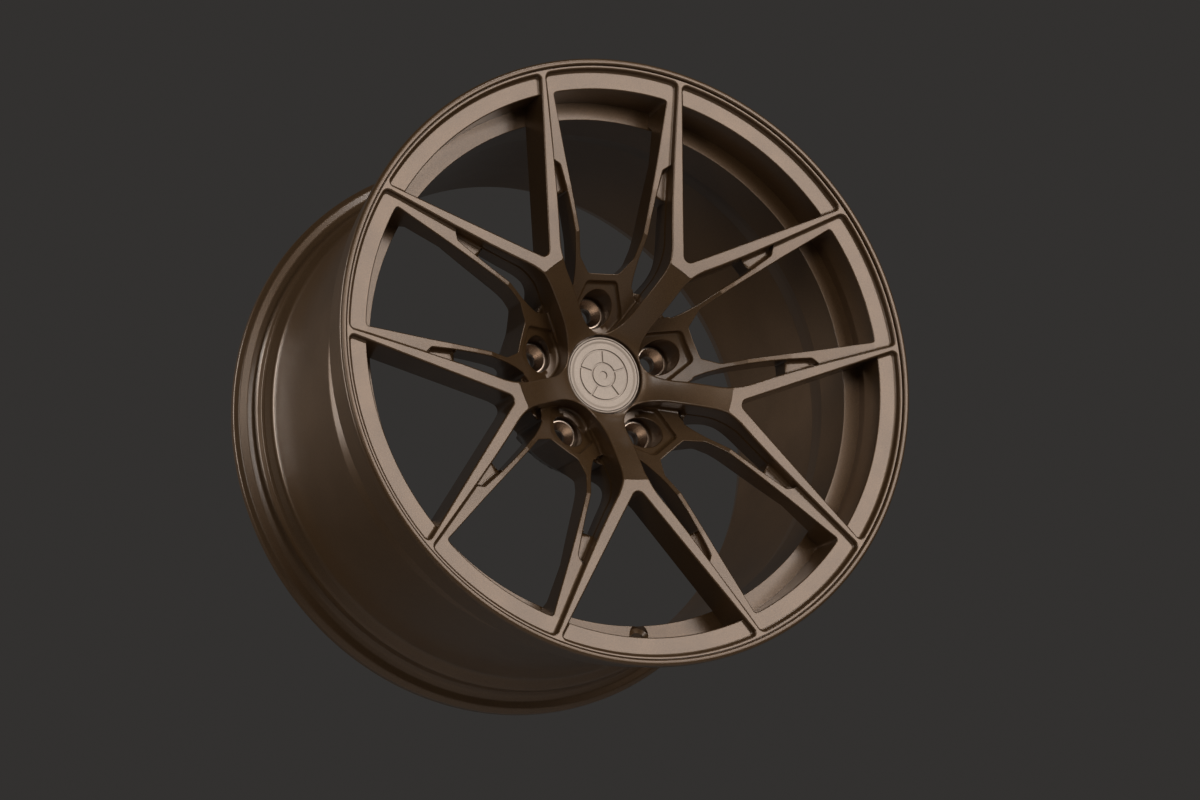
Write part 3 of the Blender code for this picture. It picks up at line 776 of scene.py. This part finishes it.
# ---------------------------------------------------------------- the turned barrel
BARREL = [
    (243.0, 3.5, 0.3), (243.0, 0.0, 2.3), (248.3, 0.0, 2.5), (248.3, 8.5, 4.0), (244.6, 12.6, 5.0),
    (235.5, 13.8, 6.0), (231.6, 18.0, 6.0), (231.0, 24.0, 10.0), (229.7, 36.6, 3.0), (230.7, 39.4, 1.4),
    (229.4, 43.6, 2.0), (219.4, 53.6, 6.0), (215.7, 59.0, 6.0), (215.7, 84.0, 14.0), (221.4, 108.0, 12.0),
    (221.9, 180.0, 0.0), (222.2, 245.4, 7.0), (229.0, 250.4, 4.0), (230.9, 253.0, 1.4), (230.1, 256.2, 2.0),
    (231.0, 262.6, 5.0), (233.4, 267.4, 5.0), (238.0, 269.9, 6.0), (244.6, 271.0, 5.0), (248.3, 275.0, 3.0),
    (248.3, 283.0, 2.2), (243.6, 283.0, 1.8), (241.6, 280.0, 4.0), (235.0, 276.6, 6.0), (228.6, 272.2, 7.0),
    (223.6, 264.0, 8.0), (217.4, 247.0, 9.0), (217.0, 180.0, 0.0), (216.6, 110.0, 10.0), (211.8, 91.0, 9.0),
    (210.0, 82.0, 6.0), (210.0, 42.5, 0.6), (227.0, 42.5, 0.2), (227.0, 11.0, 0.2), (242.0, 11.0, 0.2),
    (242.0, 3.5, 0.1)]


def closed_profile(corners, step=1.6):
    """A closed profile with every corner rounded by its own radius."""
    ring = [corners[-1]] + list(corners) + [corners[0]]
    return rounded(ring, step)[1:-1]


barrel = lathe("barrel", closed_profile(BARREL), 240)


def drill(name, steps, sides=48):
    """A stepped round cutter, as (distance along, radius) pairs, tilted through the ledge."""
    tilt = math.radians(VALVE_TILT)
    verts, faces = [], []
    for along, radius in steps:
        for i in range(sides):
            a = 2 * math.pi * i / sides
            across = radius * math.sin(a)
            depth = D_LEDGE + along * math.cos(tilt) - across * math.sin(tilt)
            r = VALVE_R + along * math.sin(tilt) + across * math.cos(tilt)
            verts.append((radius * math.cos(a), depth, -r))
    rows = len(steps)
    for k in range(rows - 1):
        for i in range(sides):
            j = (i + 1) % sides
            faces.append((k * sides + i, k * sides + j, (k + 1) * sides + j, (k + 1) * sides + i))
    faces.append(tuple(range(sides))[::-1])
    faces.append(tuple((rows - 1) * sides + i for i in range(sides)))
    return new_mesh(name, place(verts), faces)


def flip_if_inside_out(ob):
    mesh = ob.data
    mesh.calc_loop_triangles()
    volume = 0.0
    for t in mesh.loop_triangles:
        a, b, c = (mesh.vertices[i].co for i in t.vertices)
        volume += a.dot(b.cross(c))
    if volume < 0:
        mesh.flip_normals()
    return ob


def carve(ob, cutter):
    """Cuts the cutter out of the piece for good, then removes the cutter."""
    flip_if_inside_out(cutter)
    mod = ob.modifiers.new("cut", "BOOLEAN")
    mod.operation = "DIFFERENCE"
    mod.solver = "EXACT"
    mod.object = cutter
    kept = [m for m in ob.modifiers if m.type != "BOOLEAN"]
    for m in kept:
        m.show_viewport = False
    bpy.context.view_layer.update()
    graph = bpy.context.evaluated_depsgraph_get()
    mesh = bpy.data.meshes.new_from_object(ob.evaluated_get(graph))
    ob.modifiers.remove(mod)
    for m in kept:
        m.show_viewport = True
    ob.data = mesh
    bpy.data.objects.remove(cutter)
    return ob


flip_if_inside_out(barrel)
carve(barrel, drill("valve_drill", [(-9.0, 8.3), (0.4, 8.3), (2.8, 5.65), (24.0, 5.65)]))
barrel.data.set_sharp_from_angle(angle=math.radians(30))

# ---------------------------------------------------------------- lug seats
SEAT = [(12.9, 98.0, 0.0), (12.9, 86.9, 0.5), (11.5, 86.9, 0.25), (10.7, 88.3, 0.3), (6.75, 95.1, 0.4),
        (6.75, 98.0, 0.0)]
seats = []
for k in range(LUGS):
    a = math.radians(LUG_START + k * PITCH)
    seat = lathe("lug_seat_piece_%d" % (k + 1), closed_profile(SEAT, 0.5), 96,
                 (R_LUG * math.cos(a), R_LUG * math.sin(a)), 40.0)
    seats.append(flip_if_inside_out(seat))

# ---------------------------------------------------------------- centre cap
CAP_RIM = [(32.1, 70.5, 0.3), (32.1, 65.85, 1.0), (30.35, 65.85, 0.5), (30.35, 68.2, 0.1), (26.0, 68.2, 0.3),
           (26.0, 70.5, 0.3)]
cap_rim = flip_if_inside_out(lathe("cap_rim", closed_profile(CAP_RIM, 0.4), 128))

EMBLEM_LINE = 0.6        # half width of the engraved lines
EMBLEM_RINGS = (10.0, 21.0)
EMBLEM_DOT = 3.2
R_BADGE = 30.1


def badge_label(c):
    """A plain glyph: two rings joined by five bars, and a dot in the middle."""
    r = np.hypot(c[:, 0], c[:, 1])
    lab = np.zeros(len(c), int)
    for radius in EMBLEM_RINGS:
        lab[np.abs(r - radius) < EMBLEM_LINE] = 1
    lab[(c[:, 1] < EMBLEM_LINE) & (r > EMBLEM_RINGS[0]) & (r < EMBLEM_RINGS[1])] = 1
    lab[r < EMBLEM_DOT] = 1
    lab[r > R_BADGE] = VOID
    return lab, np.where(lab < 0, VOID, 0)


def badge_lines():
    out = []
    for extra in (0.0, 0.12, 0.3):
        wide = EMBLEM_LINE + extra
        out.append(subdivided(np.array([(EMBLEM_RINGS[0], wide), (EMBLEM_RINGS[1], wide)]), 1.5))
        for radius in EMBLEM_RINGS:
            out += [arc(radius - wide, 0.0, HALF, 1.0), arc(radius + wide, 0.0, HALF, 1.0)]
        out.append(arc(EMBLEM_DOT + extra, 0.0, HALF, 0.7))
    for r in (R_BADGE, R_BADGE - 0.12, R_BADGE - 0.35, 26.4, 28.4):
        out.append(arc(r, 0.0, HALF, 1.2))
    return out


badge_plan = Plan(badge_lines(), 0.0, R_BADGE, lambda r: 1.2, 0.35, 0.5)
badge = Solid(
    badge_plan, badge_label,
    {0: lambda r: np.interp(r, [0.0, 26.4, 28.4, R_BADGE], [66.35, 66.35, 66.0, 66.0]), 1: level(67.35)},
    {0: level(67.8)}, {0: [((1, VOID, OUTSIDE), 0.3, 1)]}, {}).object("cap_face")

CLIPS = 8


def clip_piece(k):
    """A spring finger behind the cap with a barbed tip."""
    span, rows = 24.0, 6
    mid = 360.0 * k / CLIPS
    section = rounded([(27.9, 68.0, 0.0), (27.9, 81.0, 0.4), (28.5, 82.6, 0.5), (29.1, 82.6, 0.5),
                       (29.5, 79.6, 0.3), (28.9, 78.6, 0.3), (28.9, 68.0, 0.0)], 0.4)
    verts, faces = [], []
    n = len(section)
    for i in range(rows + 1):
        a = math.radians(mid - span / 2 + span * i / rows)
        verts += [(r * math.cos(a), d, r * math.sin(a)) for r, d in section]
    for i in range(rows):
        for j in range(n):
            m = (j + 1) % n
            faces.append((i * n + j, i * n + m, (i + 1) * n + m, (i + 1) * n + j))
    faces.append(tuple(range(n))[::-1])
    faces.append(tuple(rows * n + j for j in range(n)))
    return weighted(flip_if_inside_out(new_mesh("cap_clip_%d" % (k + 1), place(verts), faces)))


clips = [clip_piece(k) for k in range(CLIPS)]


def spring_ring():
    """A round wire ring, open at the bottom, inside the clips."""
    wire, radius, gap, rows, sides = 0.7, 26.9, 7.0, 96, 12
    verts, faces = [], []
    for i in range(rows + 1):
        a = math.radians(-90.0 + gap + (360.0 - 2 * gap) * i / rows)
        for j in range(sides):
            b = 2 * math.pi * j / sides
            r = radius + wire * math.cos(b)
            verts.append((r * math.cos(a), 78.5 + wire * math.sin(b), r * math.sin(a)))
    for i in range(rows):
        for j in range(sides):
            m = (j + 1) % sides
            faces.append((i * sides + j, i * sides + m, (i + 1) * sides + m, (i + 1) * sides + j))
    faces.append(tuple(range(sides))[::-1])
    faces.append(tuple(rows * sides + j for j in range(sides)))
    return weighted(flip_if_inside_out(new_mesh("spring_ring", place(verts), faces)))


ring = spring_ring()


# ---------------------------------------------------------------- materials
def node_material(name):
    mat = bpy.data.materials.new(name)
    mat.use_nodes = True
    tree = mat.node_tree
    shader = tree.nodes["Principled BSDF"]
    coords = tree.nodes.new("ShaderNodeTexCoord")
    return mat, tree, shader, coords


def noise(tree, coords, scale, detail=2.0, rough=0.5):
    node = tree.nodes.new("ShaderNodeTexNoise")
    node.inputs["Scale"].default_value = scale
    node.inputs["Detail"].default_value = detail
    node.inputs["Roughness"].default_value = rough
    tree.links.new(coords.outputs["Object"], node.inputs["Vector"])
    return node


def ramp(tree, source, low, high, dark, light):
    node = tree.nodes.new("ShaderNodeValToRGB")
    node.color_ramp.elements[0].position = low
    node.color_ramp.elements[1].position = high
    node.color_ramp.elements[0].color = (*dark, 1.0)
    node.color_ramp.elements[1].color = (*light, 1.0)
    tree.links.new(source, node.inputs["Fac"])
    return node


def spread(tree, source, low, high):
    node = tree.nodes.new("ShaderNodeMapRange")
    node.inputs["From Min"].default_value = 0.3
    node.inputs["From Max"].default_value = 0.7
    node.inputs["To Min"].default_value = low
    node.inputs["To Max"].default_value = high
    tree.links.new(source, node.inputs["Value"])
    return node


def bumps(tree, shader, layers):
    """Stacks bump nodes: (source, strength, height in metres)."""
    last = None
    for source, strength, distance in layers:
        node = tree.nodes.new("ShaderNodeBump")
        node.inputs["Strength"].default_value = strength
        node.inputs["Distance"].default_value = distance
        tree.links.new(source, node.inputs["Height"])
        if last is not None:
            tree.links.new(last.outputs["Normal"], node.inputs["Normal"])
        last = node
    tree.links.new(last.outputs["Normal"], shader.inputs["Normal"])


FLAKE_SPREAD = 0.22      # half the noise range that runs from the dark to the light flakes


def paint(name, dark, light, metal, rough, coat):
    """Satin metallic paint: fine flakes, slight orange peel, a thin clear coat."""
    mat, tree, shader, coords = node_material(name)
    flakes = noise(tree, coords, 1500.0, 2.0, 0.7)
    cloud = noise(tree, coords, 28.0, 3.0, 0.5)
    peel = noise(tree, coords, 420.0, 2.0, 0.5)
    colour = ramp(tree, flakes.outputs["Fac"], 0.5 - FLAKE_SPREAD, 0.5 + FLAKE_SPREAD, dark, light)
    tree.links.new(colour.outputs["Color"], shader.inputs["Base Color"])
    rough_node = spread(tree, cloud.outputs["Fac"], rough - 0.03, rough + 0.04)
    tree.links.new(rough_node.outputs["Result"], shader.inputs["Roughness"])
    shader.inputs["Metallic"].default_value = metal
    shader.inputs["Coat Weight"].default_value = coat
    shader.inputs["Coat Roughness"].default_value = 0.24
    shader.inputs["Coat IOR"].default_value = 1.55
    bumps(tree, shader, [(peel.outputs["Fac"], 0.12, 0.00010), (flakes.outputs["Fac"], 0.22, 0.00004)])
    return mat


def machined(name, dark, light, rough):
    """Bright machined metal with a fine random grain."""
    mat, tree, shader, coords = node_material(name)
    grain = noise(tree, coords, 1800.0, 2.0, 0.6)
    colour = ramp(tree, grain.outputs["Fac"], 0.3, 0.7, dark, light)
    tree.links.new(colour.outputs["Color"], shader.inputs["Base Color"])
    rough_node = spread(tree, grain.outputs["Fac"], rough - 0.05, rough + 0.08)
    tree.links.new(rough_node.outputs["Result"], shader.inputs["Roughness"])
    shader.inputs["Metallic"].default_value = 1.0
    bumps(tree, shader, [(grain.outputs["Fac"], 0.2, 0.00003)])
    return mat


bronze = paint("bronze_paint", (0.112, 0.058, 0.021), (0.205, 0.113, 0.047), 0.45, 0.38, 1.0)
cap_paint = paint("cap_paint", (0.40, 0.315, 0.245), (0.54, 0.435, 0.35), 0.3, 0.45, 0.6)
seat_metal = machined("seat_metal", (0.46, 0.36, 0.28), (0.66, 0.55, 0.46), 0.30)
spring_steel = machined("spring_steel", (0.40, 0.40, 0.41), (0.56, 0.56, 0.57), 0.22)
clip_plastic = paint("clip_plastic", (0.018, 0.018, 0.020), (0.030, 0.030, 0.032), 0.0, 0.5, 0.0)


def dress(ob, mat, body):
    ob.data.materials.clear()
    ob.data.materials.append(mat)
    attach(ob, body)
    return ob


SECTORS = range(1, LUGS + 1)
dress(face, bronze, "wheel")
spokes = ["forked_spoke_%d" % k for k in SECTORS]
frames = ["lug_frame_%d" % k for k in SECTORS]
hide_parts("hub_centre", *spokes, *frames)
dress(barrel, bronze, "wheel")
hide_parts("front_flange", "drop_centre", "barrel_wall", "rear_flange")
for k, seat in enumerate(seats):
    dress(seat, seat_metal, "wheel")
    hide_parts("lug_seat_%d" % (k + 1))
dress(cap_rim, cap_paint, "cap")
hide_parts("cap_body")
dress(badge, cap_paint, "cap")
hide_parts("cap_badge")
for clip in clips:
    dress(clip, clip_plastic, "cap")
dress(ring, spring_steel, "cap")
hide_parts("cap_spring_ring")


# ---------------------------------------------------------------- studio
def studio_floor(height):
    mesh = bpy.data.meshes.new("studio_floor")
    n, radius = 64, 12.0
    turns = [2 * math.pi * i / n for i in range(n)]
    verts = [(radius * math.cos(a), radius * math.sin(a), height) for a in turns]
    mesh.from_pydata(verts, [], [tuple(range(n))])
    ob = bpy.data.objects.new("studio_floor", mesh)
    bpy.context.scene.collection.objects.link(ob)
    mat = bpy.data.materials.new("floor_pale")
    mat.use_nodes = True
    shader = mat.node_tree.nodes["Principled BSDF"]
    shader.inputs["Base Color"].default_value = (0.62, 0.61, 0.60, 1.0)
    shader.inputs["Roughness"].default_value = 0.8
    mesh.materials.append(mat)
    return ob


studio_floor(-1.90)


def softbox(name, spot, aim, size, power, colour=(1.0, 1.0, 1.0)):
    data = bpy.data.lights.new(name, "AREA")
    data.shape = "RECTANGLE"
    data.size, data.size_y = size
    data.energy = power
    data.color = colour
    ob = bpy.data.objects.new(name, data)
    ob.location = spot
    direction = Vector(aim) - Vector(spot)
    ob.rotation_euler = direction.to_track_quat("-Z", "Y").to_euler()
    bpy.context.scene.collection.objects.link(ob)
    return ob


softbox("key", (1.12, -2.35, 0.60), (0, 0, 0), (1.3, 1.1), 16.0, (1.0, 0.95, 0.91))
softbox("fill", (-0.6, -2.8, 0.9), (0, 0, 0), (1.0, 0.9), 7.0, (1.0, 0.90, 0.80))
softbox("side_left", (-1.9, -1.9, 0.5), (0, 0, 0), (0.3, 1.3), 6.0)
softbox("kicker", (-1.9, 1.1, 0.6), (0, 0, 0), (0.35, 1.5), 14.0, (1.0, 0.95, 0.9))
softbox("glint", (0.5, -1.7, 1.6), (0, 0, 0), (0.4, 0.3), 4.0)

world = bpy.data.worlds.new("studio")
world.use_nodes = True
back = world.node_tree.nodes["Background"]
back.inputs["Color"].default_value = (0.86, 0.81, 0.77, 1.0)
back.inputs["Strength"].default_value = 0.038
bpy.context.scene.world = world

# ---------------------------------------------------------------- camera
CAMERA_AT = (-0.9395, -2.0301, -0.5151)
CAMERA_YAW, CAMERA_PITCH, CAMERA_ROLL = 25.5445, 12.8467, -4.8047
LENS = 82.27


def make_camera():
    yaw, pitch, roll = (math.radians(a) for a in (CAMERA_YAW, CAMERA_PITCH, CAMERA_ROLL))
    look = Vector((math.sin(yaw) * math.cos(pitch), math.cos(yaw) * math.cos(pitch), math.sin(pitch)))
    right = look.cross(Vector((0, 0, 1))).normalized()
    up = right.cross(look)
    side = right * math.cos(roll) + up * math.sin(roll)
    top = up * math.cos(roll) - right * math.sin(roll)
    data = bpy.data.cameras.new("camera")
    data.lens = LENS
    data.sensor_width = 36.0
    data.clip_end = 50.0
    ob = bpy.data.objects.new("camera", data)
    turn = Matrix((side, top, -look)).transposed()
    ob.matrix_world = Matrix.Translation(CAMERA_AT) @ turn.to_4x4()
    bpy.context.scene.collection.objects.link(ob)
    bpy.context.scene.camera = ob


make_camera()
bpy.context.scene.view_settings.view_transform = "Standard"
